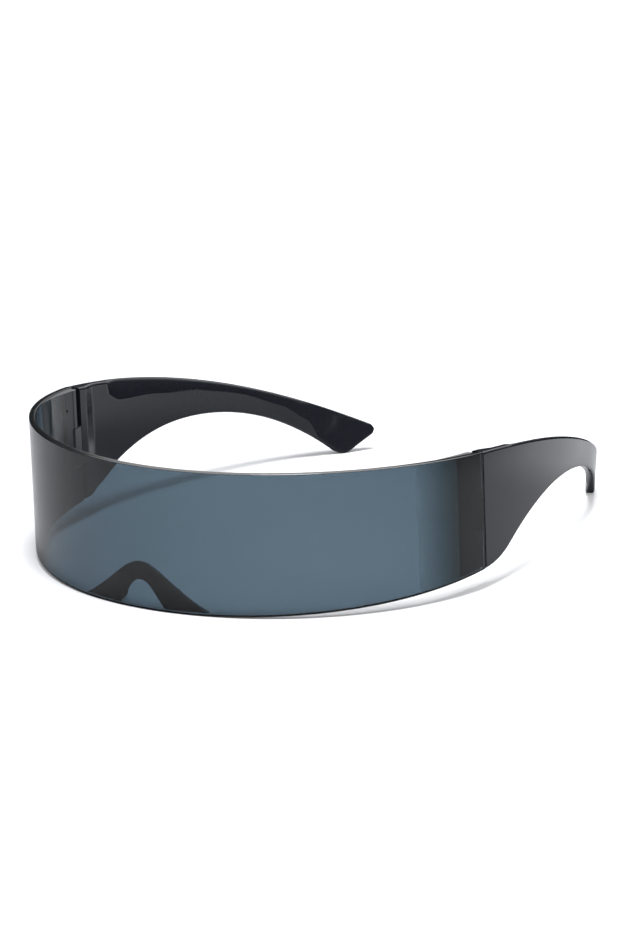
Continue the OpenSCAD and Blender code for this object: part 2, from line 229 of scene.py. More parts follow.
class Studio(PropertyGroup):
    camera_azimuth: angle("Camera azimuth", "Camera's place round the glasses", 35.07)
    camera_elevation: angle("Camera elevation", "Camera's height angle", 15.266)
    camera_roll: angle("Camera roll", "Turn of the camera about its own axis", -1.163)
    camera_distance: length("Camera distance", "Distance from the camera to its aim", 1.4553)
    aim: location("Aim", "Point on the camera's axis", (-0.00135, -0.00072, 0.02069))
    focal: amount("Focal length", "In millimetres, for a 36 mm long side", 194.56)
    floor_half: length("Floor", "Half of the floor's width", 3.0)
    floor_colour: colour("Floor colour", "Colour of the floor", (0.79, 0.8, 0.83))
    floor_lift: share("Floor lift", "Plain light added to the floor in view", 0.15)
    white_light: amount("White floor", "Plain light of the distant floor", 1.2)
    white_reach: changeover("White floor reach", "Distances over which the floor turns white", (0.4, 1.2))
    floor_gain: share("Floor gain", "Plain light that the floor gains towards the left temple", 0.2)
    gain_side: changeover("Floor gain, side", "Where it begins, to the wearer's left", (-0.03, 0.07))
    gain_back: changeover("Floor gain, back", "Where it begins, towards the back", (-0.055, -0.015))
    # The mirrored pool is a painted pool of light on the floor, with painted shadow inside the hoop and
    # beside the right temple and a painted brighter patch behind the left temple.
    pool_light: share("Mirrored floor", "Brightness of the floor as polished faces mirror it", 0.64)
    pool_centre: location("Pool centre", "Middle of the mirrored pool", (-0.03, -0.04, 0))
    pool_radius: length("Mirrored pool", "Radius of the lit floor as polished faces mirror it", 0.2)
    pool_fade: length("Pool fade", "Width of the soft edge of the mirrored pool", 0.09)
    hoop_shadow_share: share("Pool inside", "Share of the mirrored pool that is left inside the hoop", 0.38)
    hoop_centre: location("Hoop centre", "Middle of the hoop on the floor", (0, -0.0137, 0))
    hoop_reach: changeover("Hoop", "Distances over which the inside of the hoop ends", (0.06, 0.096))
    pool_bright: amount("Pool gain", "Gain of the mirrored pool behind the left temple", 2.3)
    bright_side: changeover("Pool gain, side", "Where it begins, to the wearer's left", (0.03, 0.08))
    bright_back: changeover("Pool gain, back", "Where it begins, towards the back", (0.07, 0.17))
    pool_shade: share("Pool shade", "Share of the mirrored pool that is left beside the right temple", 0.25)
    shade_start: changeover("Shade start", "Where the shade begins, from the wearer's right", (-0.1, -0.08))
    shade_end: changeover("Shade end", "Where the shade ends, from the wearer's right", (-0.045, -0.03))
    shade_back: changeover("Shade, back", "Where the shade begins, towards the back", (0.055, 0.08))
    sky_light: amount("Sky light", "Strength of the studio's fill", 0.4)
    dark_sky: share("Dark sky", "Brightness of the dark room, as polished faces mirror it", 0.04)
    backdrop_turn: changeover("Backdrop", "Where the mirrored backdrop begins, as a cosine from behind",
                              (0.45, 0.7), "NONE")
    backdrop_side: changeover("Backdrop side", "Left end of the mirrored backdrop", (-0.046, -0.038),
                              "NONE")
    backdrop_foot: changeover("Backdrop foot", "Foot of the mirrored backdrop", (0.208, 0.22), "NONE")
    wall_light: share("Wall light", "Brightness of the upper walls, as polished faces mirror them", 0.5)
    wall_foot: changeover("Wall foot", "Heights over which the mirrored walls turn grey", (0.38, 0.53),
                          "NONE")
    box_light: amount("Soft box", "Brightness of the overhead soft box", 5.0)
    box_edge: changeover("Soft box edge", "Heights over which the soft box begins", (0.62, 0.68), "NONE")
    key_power: FloatProperty(name="Key lamp", description="Power of the overhead lamp", default=55.0,
                             unit="POWER")
    key_size: length("Key lamp size", "Width of the overhead lamp", 0.7)
    key_place: location("Key lamp place", "Place of the overhead lamp", (0.2, -0.25, 2.2))


class GlassesSettings(PropertyGroup):
    lens: PointerProperty(type=LensSizes)
    hinge: PointerProperty(type=HingeSizes)
    pin: PointerProperty(type=PinSizes)
    temple: PointerProperty(type=TempleSizes)
    nose: PointerProperty(type=NoseSizes)
    finish: PointerProperty(type=Finish)
    studio: PointerProperty(type=Studio)


def settings():
    return bpy.context.scene.shield_glasses


# Plan and side geometry, upright, before the glasses are tipped to rest


def heading(turn):
    return Vector((math.cos(turn), math.sin(turn)))


def bow_centre(start, stop, radius):
    """Centre of a circle through two points, on the side that turns clockwise from start to stop."""
    half = (stop - start) / 2
    side = Vector((half.y, -half.x)).normalized()
    return start + half + side * math.sqrt(radius**2 - half.length_squared)


def seam_place(lens):
    return Vector((lens.radius * math.sin(lens.half_angle),
                   lens.radius * (1 - math.cos(lens.half_angle))))


def pin_place(lens, hinge):
    turn = lens.half_angle - hinge.pin_ahead / lens.radius
    reach = lens.radius - hinge.pin_depth
    return Vector((reach * math.sin(turn), lens.radius - reach * math.cos(turn))), turn


def rest_tilt():
    """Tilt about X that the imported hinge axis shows."""
    axis = next(j for j in frame["joints"] if j["name"] == "left_hinge")["axis"]
    return math.atan2(-axis[1], axis[2])


def stand():
    """Matrix that tips the upright glasses onto their foot and ear tips, as the frame stands."""
    joint = next(j for j in frame["joints"] if j["name"] == "left_hinge")
    tilt = rest_tilt()
    back = pin_place(settings().lens, settings().hinge)[0].y
    height = (joint["pos_m"][2] - back * math.sin(tilt)) / math.cos(tilt)
    middle = back * math.cos(tilt) - height * math.sin(tilt) - joint["pos_m"][1]
    return Matrix.Translation((0, -middle, 0)) @ Matrix.Rotation(tilt, 4, "X")


class TempleOutline:
    """Path seen from above and edges seen from the side, of a temple.

    Behind is a distance behind the seam, measured on the outer face, and along is one on the chord.
    """

    def __init__(self, lens, sizes):
        self.sizes = sizes
        self.seam = seam_place(lens)
        self.seam_slope = sizes.seam_flare / (sizes.block_thickness + lens.thickness)
        self.front_turn = sizes.front_stretch / sizes.front_radius
        self.front_centre = self.seam - Vector((sizes.front_radius, 0))
        bend = sizes.front_radius - sizes.rear_radius
        self.rear_centre = self.front_centre + bend * heading(self.front_turn)
        rear_turn = self.front_turn + sizes.rear_stretch / sizes.rear_radius
        chord = self.rear_centre + sizes.rear_radius * heading(rear_turn) - self.seam
        self.chord = chord.normalized()
        self.set_edges(lens, sizes)

    def set_edges(self, lens, sizes):
        self.base = lens.bottom_rise
        top = lens.height - lens.top_fall
        self.top_centre = Vector((-sizes.top_radius * math.sin(sizes.top_slope),
                                  top - sizes.top_radius * math.cos(sizes.top_slope)))
        self.arch_front = Vector((sizes.arch_place, sizes.arch_height - sizes.arch_front))
        self.arch_rear = Vector((sizes.arch_place, sizes.arch_height - sizes.arch_rear))
        reach = sizes.arch_front + sizes.heel_radius
        rise = self.base + sizes.heel_radius - self.arch_front.y
        self.heel = Vector((sizes.arch_place - math.sqrt(reach**2 - rise**2),
                            self.base + sizes.heel_radius))
        self.heel_join = self.heel.lerp(self.arch_front, sizes.heel_radius / reach)
        across = sizes.tip_place - sizes.arch_place
        reach = sizes.arch_rear + sizes.tip_radius
        self.tip = Vector((sizes.tip_place, self.arch_rear.y + math.sqrt(reach**2 - across**2)))
        self.tip_join = self.tip.lerp(self.arch_rear, sizes.tip_radius / reach)
        slope = sizes.tip_slope
        down = heading(slope - math.pi / 2)
        start = self.tip + (sizes.tip_radius - sizes.end_radius) * down - self.top_centre
        along = start.dot(heading(slope))
        inside = sizes.top_radius - sizes.end_radius
        run = math.sqrt(along**2 - start.length_squared + inside**2) - along
        self.tail = self.top_centre + start + run * heading(slope)
        self.tail_top = self.tail + sizes.end_radius * (self.tail - self.top_centre).normalized()
        self.tip_low = self.tip + sizes.tip_radius * down
        self.tail_low = self.tail + sizes.end_radius * down
        self.end = self.tail.x + sizes.end_radius

    def path(self, behind):
        """Outer face and inward direction at a distance behind the seam."""
        sizes = self.sizes
        if behind < sizes.front_stretch:
            out = heading(behind / sizes.front_radius)
            return self.front_centre + sizes.front_radius * out, -out
        out = heading(self.front_turn + (behind - sizes.front_stretch) / sizes.rear_radius)
        return self.rear_centre + sizes.rear_radius * out, -out

    def along(self, point):
        """Distance of a point behind the seam, along the chord of the blade."""
        return (point - self.seam).dot(self.chord)

    def inner(self, behind):
        point, inward = self.path(behind)
        return point + inward * self.thickness(behind)

    def place_at(self, face, along):
        """Distance behind the seam at which a face of the blade lies this far along the chord."""
        low, high = 0, 1.1 * (self.sizes.front_stretch + self.sizes.rear_stretch)
        for _ in range(HALVINGS):
            middle = (low + high) / 2
            if self.along(face(middle)) < along:
                low = middle
            else:
                high = middle
        return low

    def outer(self, behind):
        return self.path(behind)[0]

    def section(self, behind):
        """Ends of a section seen from above: square to the chord, but parallel to the seam at the front."""
        sizes = self.sizes
        outer = self.outer(behind)
        seam_end = Vector((-1, self.seam_slope)) * sizes.block_thickness
        square_from = 3 * (sizes.block_length + sizes.block_slope)
        skew = self.along(self.seam + seam_end) * (1 - ease(behind / square_from))
        return outer, self.inner(self.place_at(self.inner, self.along(outer) + skew))

    def stations(self):
        """Distances behind the seam of the sections, closer together at the block and the tip."""
        sizes = self.sizes
        block = sizes.seam_gap + sizes.block_length + 2 * sizes.block_slope
        band = sizes.band_places[0]
        places = spread(sizes.seam_gap, block, sizes.station / 2)
        places += spread(block, band, sizes.station)[1:]
        places += spread(band, band + sizes.band_start, sizes.band_start / 5)[1:]
        last = self.place_at(self.outer, self.tail.x)
        places += spread(places[-1], self.place_at(self.outer, self.tip.x - sizes.tip_radius),
                         sizes.station)[1:]
        places += spread(places[-1], last, sizes.station / 3)[1:]
        end_steps = 9
        last_turn = math.radians(89)  # just short of the very end, so that the last section stays open
        for step in range(1, end_steps + 1):
            along = self.tail.x + sizes.end_radius * math.sin(last_turn * step / end_steps)
            places.append(self.place_at(self.outer, along))
        return places

    def low_edge(self, along):
        """Height of the lower edge: heel, arch, ear tip and rounded end, at a distance along the chord."""
        sizes = self.sizes
        if along < self.heel.x:
            return self.base
        if along < self.heel_join.x:
            return self.heel.y - circle_rise(sizes.heel_radius, along - self.heel.x)
        if along < sizes.arch_place:
            return self.arch_front.y + circle_rise(sizes.arch_front, along - sizes.arch_place)
        if along < self.tip_join.x:
            return self.arch_rear.y + circle_rise(sizes.arch_rear, along - sizes.arch_place)
        if along < self.tip_low.x:
            return self.tip.y - circle_rise(sizes.tip_radius, along - self.tip.x)
        if along < self.tail_low.x:
            return self.tip_low.y + (along - self.tip_low.x) * math.tan(sizes.tip_slope)
        return self.tail.y - circle_rise(sizes.end_radius, along - self.tail.x)

    def high_edge(self, along):
        """Height of the upper edge at a distance along the chord."""
        if along < self.tail_top.x:
            return self.top_centre.y + circle_rise(self.sizes.top_radius, along - self.top_centre.x)
        return self.tail.y + circle_rise(self.sizes.end_radius, along - self.tail.x)

    def thickness(self, behind):
        """Thickness of the blade, which thins from the hinge block over its slope."""
        sizes = self.sizes
        fall = (sizes.block_thickness - sizes.thickness) / sizes.block_slope
        slope = sizes.block_thickness - max(0, behind - sizes.block_length) * fall
        return smooth_max(slope, sizes.thickness, sizes.thickness / 12)

    def band_width(self, behind):
        """Width of the sloped band under the top edge, on the inner face."""
        places, widths = self.sizes.band_places, self.sizes.band_widths
        width = widths[0]
        for start, stop, before, after in zip(places, places[1:], widths, widths[1:]):
            width += (after - before) * ease((behind - start) / (stop - start))
        return width

    def band_inset(self, behind, drop):
        """How far the inner face lies back, at a drop below the top edge."""
        sizes = self.sizes
        width = self.band_width(behind)
        up = min(1, max(0, 1 - drop / width))
        power = sizes.band_power
        slope = min(sizes.band_slope, sizes.band_limit / width)
        roll = max(0, min(sizes.band_roll, power * (sizes.band_limit / width - slope)))
        begun = ease((behind - sizes.band_places[0]) / sizes.band_start)
        return begun * width * (slope * up + roll * up**power / power)

    def ring(self, behind):
        """Points round the section at a distance behind the seam."""
        sizes = self.sizes
        outer, inner = self.section(behind)
        across = inner - outer
        width = across.length
        left = self.end - self.along(outer)
        inset = 0
        if left < sizes.edge_radius:
            inset = sizes.edge_radius - circle_rise(sizes.edge_radius, sizes.edge_radius - left)
        direction = across / width
        top = self.high_edge(self.along(outer))
        middle = (top + self.low_edge(self.along(outer))) / 2
        start, stop = sizes.twist_run
        twist = sizes.tip_twist * ease((behind - start) / (stop - start))

        def place(depth, height):
            depth *= 1 - self.band_inset(behind, top - height) / width
            depth -= twist * (height - middle)
            point = outer + direction * (depth + inset)
            return Vector((point.x, point.y, height))

        def edge(rule):
            return lambda depth: rule(self.along(outer + direction * (depth + inset)))

        return rounded_ring(place, edge(self.low_edge), edge(self.high_edge), width - 2 * inset,
                            sizes.edge_radius, crease=top - self.band_width(behind))


def rounded_ring(place, low, high, width, radius, corner_steps=5, side_steps=8, crease=None):
    """Points round an upright section with rounded corners.

    Place turns a depth and a height into a point, and low and high give the edges at a depth. A crease
    is a height on the inner side that gets rows of its own.
    """
    tall = high(width / 2) - low(width / 2)
    radius = min(radius, 0.49 * width, 0.49 * tall)
    ring = []
    for quarter in range(4):
        middle = radius if quarter in (0, 3) else width - radius
        for step in range(corner_steps + 1):
            turn = math.pi * (1 + (quarter + step / corner_steps) / 2)
            depth = middle + radius * math.cos(turn)
            base = low(depth) + radius if quarter < 2 else high(depth) - radius
            ring.append(place(depth, base + radius * math.sin(turn)))
        if quarter in (1, 3):
            depth = width if quarter == 1 else 0
            ends = (low(depth) + radius, high(depth) - radius)
            start, stop = ends if quarter == 1 else ends[::-1]
            if quarter == 1 and crease is not None:
                ring += [place(depth, height) for height in creased(start, stop, crease, side_steps)]
                continue
            for step in range(1, side_steps):
                ring.append(place(depth, start + (stop - start) * step / side_steps))
    return ring


def creased(start, stop, crease, steps):
    """Heights between two ends, evenly spread on both sides of a crease and close together at it."""
    margin = (stop - start) / 50
    crease = min(stop - 3 * margin, max(start + 3 * margin, crease))
    below = [start + (crease - margin - start) * i / steps for i in range(1, steps + 1)]
    above = [crease + margin + (stop - crease - margin) * i / steps for i in range(steps)]
    return [*below, crease, *above]


def spread(start, stop, spacing):
    """Evenly spaced numbers from start to stop, no further apart than the spacing."""
    count = max(1, math.ceil((stop - start) / spacing))
    return [start + (stop - start) * i / count for i in range(count + 1)]


def circle_rise(radius, across):
    """Height of a circle over its middle, at a distance from it."""
    return math.sqrt(max(0, radius**2 - across**2))


def smooth_max(a, b, blend):
    """The larger of two values, rounded over where they are nearly equal."""
    mix = max(0, blend - abs(a - b)) / blend
    return max(a, b) + mix * mix * blend / 4


def ease(value):
    """Smooth step from zero to one."""
    value = min(1, max(0, value))
    return value * value * (3 - 2 * value)


# Mesh helpers


def skin(rings):
    """Closed mesh data through rings of equally many points, with both ends capped."""
    count = len(rings[0])
    points = [p for ring in rings for p in ring]
    faces = [tuple(range(count))[::-1]]
    for row in range(len(rings) - 1):
        for i in range(count):
            j = (i + 1) % count
            faces.append((row * count + i, row * count + j, (row + 1) * count + j, (row + 1) * count + i))
    last = (len(rings) - 1) * count
    faces.append(tuple(range(last, last + count)))
    return points, faces


def make_piece(name, parts, matrix, material, mirrored=False, sharp=35):
    """One object from lists of points and faces, placed by a matrix, with outward normals."""
    mesh_parts = bmesh.new()
    for points, faces in parts:
        verts = [mesh_parts.verts.new(p) for p in points]
        for face in faces:
            mesh_parts.faces.new([verts[i] for i in face])
    bmesh.ops.remove_doubles(mesh_parts, verts=mesh_parts.verts, dist=WELD)
    if mirrored:
        bmesh.ops.transform(mesh_parts, matrix=Matrix.Diagonal((-1, 1, 1, 1)), verts=mesh_parts.verts)
    bmesh.ops.transform(mesh_parts, matrix=matrix, verts=mesh_parts.verts)
    bmesh.ops.recalc_face_normals(mesh_parts, faces=mesh_parts.faces)
    mesh = bpy.data.meshes.new(name)
    mesh_parts.to_mesh(mesh)
    mesh_parts.free()
    return add_object(name, mesh, material, sharp)


def outward(mesh):
    """The same mesh with its points welded and its normals outwards."""
    parts = bmesh.new()
    parts.from_mesh(mesh)
    bmesh.ops.remove_doubles(parts, verts=parts.verts, dist=WELD)
    bmesh.ops.recalc_face_normals(parts, faces=parts.faces)
    parts.to_mesh(mesh)
    parts.free()
    return mesh


def add_object(name, mesh, material, sharp):
    mesh.materials.clear()
    mesh.materials.append(material)
    mesh.shade_smooth()
    mesh.set_sharp_from_angle(angle=math.radians(sharp))
    piece = bpy.data.objects.new(name, mesh)
    bpy.context.scene.collection.objects.link(piece)
    return piece


def add_bevel(piece, width, segments=3, limit=50):
    bevel = piece.modifiers.new("Rounded edges", "BEVEL")
    bevel.width = width
    bevel.segments = segments
    bevel.limit_method = "ANGLE"
    bevel.angle_limit = math.radians(limit)


def even_shading(piece):
    """Lets large faces lead the shading normals, so that flats look flat."""
    shading = piece.modifiers.new("Even shading", "WEIGHTED_NORMAL")
    shading.keep_sharp = True
    shading.weight = 60


# Node helpers


def feed(tree, socket, value):
    """Links a socket to another, or sets its plain value."""
    if isinstance(value, bpy.types.NodeSocket):
        tree.links.new(value, socket)
    else:
        socket.default_value = value


def fill(tree, node, inputs):
    """Feeds the inputs of a node, given by name or number."""
    for socket, value in inputs.items():
        feed(tree, node.inputs[socket], value)
    return node


def add_node(tree, kind, inputs, **options):
    node = tree.nodes.new(kind)
    for option, value in options.items():
        setattr(node, option, value)
    return fill(tree, node, inputs)


def node_of(tree, kind):
    return next(node for node in tree.nodes if node.type == kind)


def add_sockets(tree, direction, sockets):
    for name, kind in sockets.items():
        tree.interface.new_socket(name=name, in_out=direction, socket_type=kind)


def math_node(tree, operation, *values):
    node = tree.nodes.new("ShaderNodeMath")
    node.operation = operation
    for socket, value in zip(node.inputs, values):
        feed(tree, socket, value)
    return node.outputs[0]


def times(tree, value, *factors):
    for factor in factors:
        value = math_node(tree, "MULTIPLY", value, factor)
    return value


def between(tree, value, limits, low=0.0, high=1.0):
    """Low before the first limit, high after the second, and a smooth change between them."""
    inputs = dict(enumerate((value, *limits, low, high)))
    return add_node(tree, "ShaderNodeMapRange", inputs, interpolation_type="SMOOTHSTEP").outputs["Result"]


def compare(tree, operation, spot, other):
    """Distance or dot product of a vector socket and a fixed vector."""
    node = add_node(tree, "ShaderNodeVectorMath", {0: spot, 1: other}, operation=operation)
    return node.outputs["Value"]


def mixed_colour(tree, factor, start, stop):
    return add_node(tree, "ShaderNodeMix", {0: factor, 6: (*start, 1), 7: (*stop, 1)},
                    data_type="RGBA").outputs[2]


# Lens


def lens_tree():
    """Sweeps a rounded strip along an arc, then moves its top and bottom edges to their bows."""
    tree = bpy.data.node_groups.new("Wrap lens", "GeometryNodeTree")
    floats = ["Radius", "Half Angle", "Thickness", "Height", "Edge Radius", "Bow Radius",
              "Top Bow Back", "Top Bow Height", "Low Bow Back", "Low Bow Height", "Tilt", "Forward"]
    add_sockets(tree, "INPUT", {name: "NodeSocketFloat" for name in floats})
    add_sockets(tree, "INPUT", {"Steps": "NodeSocketInt", "Material": "NodeSocketMaterial"})
    add_sockets(tree, "OUTPUT", {"Geometry": "NodeSocketGeometry"})
    given = tree.nodes.new("NodeGroupInput").outputs
    result = tree.nodes.new("NodeGroupOutput").inputs
    half_wall = math_node(tree, "DIVIDE", given["Thickness"], 2.0)
    arc = add_node(tree, "GeometryNodeCurveArc", {
        "Resolution": given["Steps"],
        "Radius": math_node(tree, "SUBTRACT", given["Radius"], half_wall),
        "Start Angle": math_node(tree, "SUBTRACT", -math.pi / 2, given["Half Angle"]),
        "Sweep Angle": math_node(tree, "MULTIPLY", given["Half Angle"], 2.0)})
    upright = add_node(tree, "GeometryNodeSetCurveNormal", {"Curve": arc.outputs["Curve"]}, mode="Z_UP")
    strip = add_node(tree, "GeometryNodeCurvePrimitiveQuadrilateral",
                     {"Width": given["Thickness"], "Height": given["Height"]})
    fillet = add_node(tree, "GeometryNodeFilletCurve", {
        "Curve": strip.outputs["Curve"], "Count": 5, "Radius": given["Edge Radius"]}, mode="POLY")
    sweep = add_node(tree, "GeometryNodeCurveToMesh", {
        "Curve": upright.outputs["Curve"], "Profile Curve": fillet.outputs["Curve"], "Fill Caps": True})
    move = add_node(tree, "GeometryNodeSetPosition", {
        "Geometry": sweep.outputs["Mesh"], "Offset": edge_shift(tree, given)})
    turn = add_node(tree, "ShaderNodeCombineXYZ", {"X": given["Tilt"]})
    forward = add_node(tree, "ShaderNodeCombineXYZ", {"Y": given["Forward"]})
    tip = add_node(tree, "GeometryNodeTransform", {
        "Geometry": move.outputs["Geometry"], "Rotation": turn.outputs[0],
        "Translation": forward.outputs[0]})
    real = add_node(tree, "GeometryNodeRealizeInstances", {"Geometry": tip.outputs["Geometry"]})
    paint = add_node(tree, "GeometryNodeSetMaterial", {
        "Geometry": real.outputs["Geometry"], "Material": given["Material"]})
    feed(tree, result["Geometry"], paint.outputs["Geometry"])
    return tree


def edge_shift(tree, given):
    """Offset that brings the strip's two long edges to their bows, and its middle to the nose."""
    spot = tree.nodes.new("GeometryNodeInputPosition").outputs[0]
    split = add_node(tree, "ShaderNodeSeparateXYZ", {0: spot}).outputs
    back = math_node(tree, "ADD", split["Y"], given["Radius"])
    half = math_node(tree, "DIVIDE", given["Height"], 2.0)
    upper = math_node(tree, "SUBTRACT", bow_height(tree, given, back, "Top", 1.0), half)
    fall = math_node(tree, "MULTIPLY", -1.0, math_node(tree, "TANGENT", given["Tilt"]))
    floor = math_node(tree, "MULTIPLY", back, fall)
    low = math_node(tree, "MAXIMUM", bow_height(tree, given, back, "Low", -1.0), floor)
    lower = math_node(tree, "ADD", low, half)
    above = math_node(tree, "GREATER_THAN", split["Z"], 0.0)
    span = math_node(tree, "SUBTRACT", upper, lower)
    shift = math_node(tree, "ADD", lower, math_node(tree, "MULTIPLY", above, span))
    return add_node(tree, "ShaderNodeCombineXYZ", {"Y": given["Radius"], "Z": shift}).outputs[0]


def bow_height(tree, given, back, edge, sign):
    """Height of a bowed edge at a distance back: its circle's centre, plus or minus its rise."""
    across = math_node(tree, "SUBTRACT", back, given[edge + " Bow Back"])
    square = math_node(tree, "SUBTRACT", math_node(tree, "POWER", given["Bow Radius"], 2.0),
                       math_node(tree, "MULTIPLY", across, across))
    rise = math_node(tree, "MULTIPLY", math_node(tree, "SQRT", square), sign)
    return math_node(tree, "ADD", given[edge + " Bow Height"], rise)


def build_by_nodes(name, tree, values):
    """Runs a geometry node tree with its inputs set by name and returns the plain mesh."""
    host = bpy.data.objects.new(name + ".host", bpy.data.meshes.new(name))
    bpy.context.scene.collection.objects.link(host)
    modifier = host.modifiers.new("Build", "NODES")
    modifier.node_group = tree
    for item in tree.interface.items_tree:
        if item.in_out == "INPUT" and item.name in values:
            modifier[item.identifier] = values[item.name]
    depsgraph = bpy.context.evaluated_depsgraph_get()
    mesh = bpy.data.meshes.new_from_object(host.evaluated_get(depsgraph), depsgraph=depsgraph)
    bpy.data.objects.remove(host)
    if not mesh.polygons:
        raise RuntimeError(f"the node tree for {name} made no faces")
    return mesh


def mark_faces(mesh, material, wanted):
    """Gives another material to the faces that a rule picks."""
    mesh.materials.append(material)
    for face in mesh.polygons:
        if wanted(face):
            face.material_index = len(mesh.materials) - 1


class GLASSES_OT_lens(Operator):
    """Build the wrap-around lens"""

    bl_idname = "glasses.lens"
    bl_label = "Lens"

    def execute(self, context):
        lens = settings().lens
        seam = seam_place(lens)
        foot_back = lens.radius - math.sqrt(lens.radius**2 - (lens.foot_width / 2) ** 2)
        foot = Vector((foot_back, -foot_back * math.tan(rest_tilt())))
        top_end = Vector((seam.y, lens.height - lens.top_fall))
        top = bow_centre(Vector((0, lens.height)), top_end, lens.bow_radius)
        low = bow_centre(Vector((seam.y, lens.bottom_rise)), foot, lens.bow_radius)
        material = lens_material()
        mesh = build_by_nodes("Lens", lens_tree(), {
            "Radius": lens.radius, "Half Angle": lens.half_angle, "Thickness": lens.thickness,
            "Height": lens.height, "Edge Radius": lens.edge_radius, "Bow Radius": lens.bow_radius,
            "Top Bow Back": top.x, "Top Bow Height": top.y, "Low Bow Back": low.x,
            "Low Bow Height": low.y, "Tilt": rest_tilt(), "Forward": stand().translation.y,
            "Steps": lens.steps, "Material": material})
        piece = add_object("Tinted_lens", outward(mesh), material, sharp=35)
        mark_faces(piece.data, dark_edge_material(), lambda face: abs(face.normal.z) > CUT_EDGE_RISE)
        add_bevel(piece, lens.edge_radius, limit=60)
        even_shading(piece)
        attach(piece, "front")
        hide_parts("shield_lens")
        return {"FINISHED"}


# Temples


def middle_knuckle(lens, hinge, temple):
    """Knuckle round the pin and the arm that carries it, as points and faces."""
    place, turn = pin_place(lens, hinge)
    arm_outside = hinge.knuckle_radius - hinge.knuckle_gap
    arm_length = hinge.pin_ahead + temple.seam_gap + temple.seam_flare + temple.block_length / 2
    steps = 24  # along the half circle round the pin
    outline = [hinge.knuckle_radius * heading(math.pi * (1 + i / steps)) for i in range(steps + 1)]
    outline += [Vector((arm_outside, 0)), Vector((arm_outside, arm_length)),
                Vector((-hinge.knuckle_radius, arm_length))]
    low = hinge.knuckle_low + hinge.knuckle_gap / 2
    high = hinge.knuckle_high - hinge.knuckle_gap / 2
    return bored_plate(outline, hinge.bore_radius, low, high, place, turn - math.pi / 2)


def bored_plate(outline, bore_radius, low, high, place, turn):
    """Upright plate round a bore at its own origin, turned and moved to its place."""
    points = []
    faces = []
    spin = Matrix.Rotation(turn, 2)
    count = len(outline)
    for height in (low, high):
        for corner in outline:
            for spot in (corner, corner.normalized() * bore_radius):
                point = spin @ spot + place
                points.append(Vector((point.x, point.y, height)))
    over = 2 * count
    for i in range(count):
        rim, next_rim = 2 * i, 2 * ((i + 1) % count)
        bore, next_bore = rim + 1, next_rim + 1
        faces += [(rim, bore, next_bore, next_rim),
                  (over + rim, over + next_rim, over + next_bore, over + bore),
                  (rim, next_rim, over + next_rim, over + rim),
                  (bore, over + bore, over + next_bore, next_bore)]
    return points, faces


class GLASSES_OT_temples(Operator):
    """Build both temples with their hinge blocks and middle knuckles"""

    bl_idname = "glasses.temples"
    bl_label = "Temples"

    def execute(self, context):
        wanted = settings()
        outline = TempleOutline(wanted.lens, wanted.temple)
        blade = skin([outline.ring(behind) for behind in outline.stations()])
        knuckle = middle_knuckle(wanted.lens, wanted.hinge, wanted.temple)
        material = plastic_material()
        for side, sign in SIDES.items():
            piece = make_piece(f"Temple_{side}", [blade, knuckle], stand(), material, sign < 0)
            add_bevel(piece, wanted.temple.front_round, limit=60)
            even_shading(piece)
            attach(piece, f"{side}_temple")
            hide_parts(f"temple_{side}")
        return {"FINISHED"}


# End pieces and hinge pins


def merged_copy(name, node, material):
    """Piece whose mesh is a CAD node's, with its loose triangles joined and flat faces whole."""
    mesh = frame["nodes"][node].data.copy()
    mesh.name = name
    parts = bmesh.new()
    parts.from_mesh(mesh)
    bmesh.ops.remove_doubles(parts, verts=parts.verts, dist=CAD_WELD)
    bmesh.ops.dissolve_limit(parts, angle_limit=CAD_FLAT, verts=parts.verts, edges=parts.edges,
                             delimit=set())
    bmesh.ops.recalc_face_normals(parts, faces=parts.faces)
    parts.to_mesh(mesh)
    parts.free()
    return add_object(name, mesh, material, sharp=30)


def thin_out(mesh):
    """Hollows the wedge and thins its front edge, so that it fades into the lens."""
    lens, hinge = settings().lens, settings().hinge
    placed = stand()
    upright = placed.inverted()
    lens_inside = lens.radius - lens.thickness
    spots = [upright @ vertex.co for vertex in mesh.vertices]
    turns = [math.atan2(abs(spot.x), lens.radius - spot.y) for spot in spots]
    front = min(turns)
    for vertex, spot, turn in zip(mesh.vertices, spots, turns):
        radius = math.hypot(spot.x, spot.y - lens.radius)
        along = (turn - front) * lens.radius / hinge.wedge_length
        if along < 1 and radius < lens_inside - hinge.glue_skin:
            kept = hinge.front_kept
            if turn > front + hinge.front_strip:
                kept = hinge.wedge_kept + (1 - hinge.wedge_kept) * along
            out = (lens_inside - (lens_inside - radius) * kept) / radius
            vertex.co = placed @ Vector((spot.x * out, lens.radius + (spot.y - lens.radius) * out, spot.z))


def mark_free_faces(mesh):
    """Marks the faces that aren't glued to the lens, for the material's coat."""
    lens = settings().lens
    upright = stand().inverted()
    free = mesh.attributes.new("Free", "FLOAT", "FACE")
    for face in mesh.polygons:
        spots = [upright @ mesh.vertices[i].co for i in face.vertices]
        reach = min(math.hypot(p.x, p.y - lens.radius) for p in spots)
        free.data[face.index].value = float(reach < lens.radius - lens.thickness - lens.edge_radius / 2)


class GLASSES_OT_endpieces(Operator):
    """Dress the end pieces that are bonded inside the lens"""

    bl_idname = "glasses.endpieces"
    bl_label = "End pieces"

    def execute(self, context):
        hinge = settings().hinge
        material = smoke_material()
        for side in SIDES:
            piece = merged_copy(f"End_piece_{side}", f"endpiece_{side}", material)
            thin_out(piece.data)
            mark_free_faces(piece.data)
            mark_faces(piece.data, plastic_material(), lambda face: face.center.y > -hinge.dark_from)
            # Up-facing faces get the paler top colour: painted light from the overhead lamp on their rough
            # skin.
            mark_faces(piece.data, rough_top_painted_light_material(), lambda face: face.normal.z > PAINTED_TOP_LIGHT_RISE)
            add_bevel(piece, hinge.arm_round, segments=2, limit=40)
            even_shading(piece)
            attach(piece, "front")
            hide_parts(f"endpiece_{side}")
        return {"FINISHED"}


def lathe(profile, steps=48):
    """Rings of points round an upright axis through pairs of radius and height."""
    rings = []
    for radius, height in profile:
        ring = [radius * heading(2 * math.pi * i / steps) for i in range(steps)]
        rings.append([Vector((p.x, p.y, height)) for p in ring])
    return rings


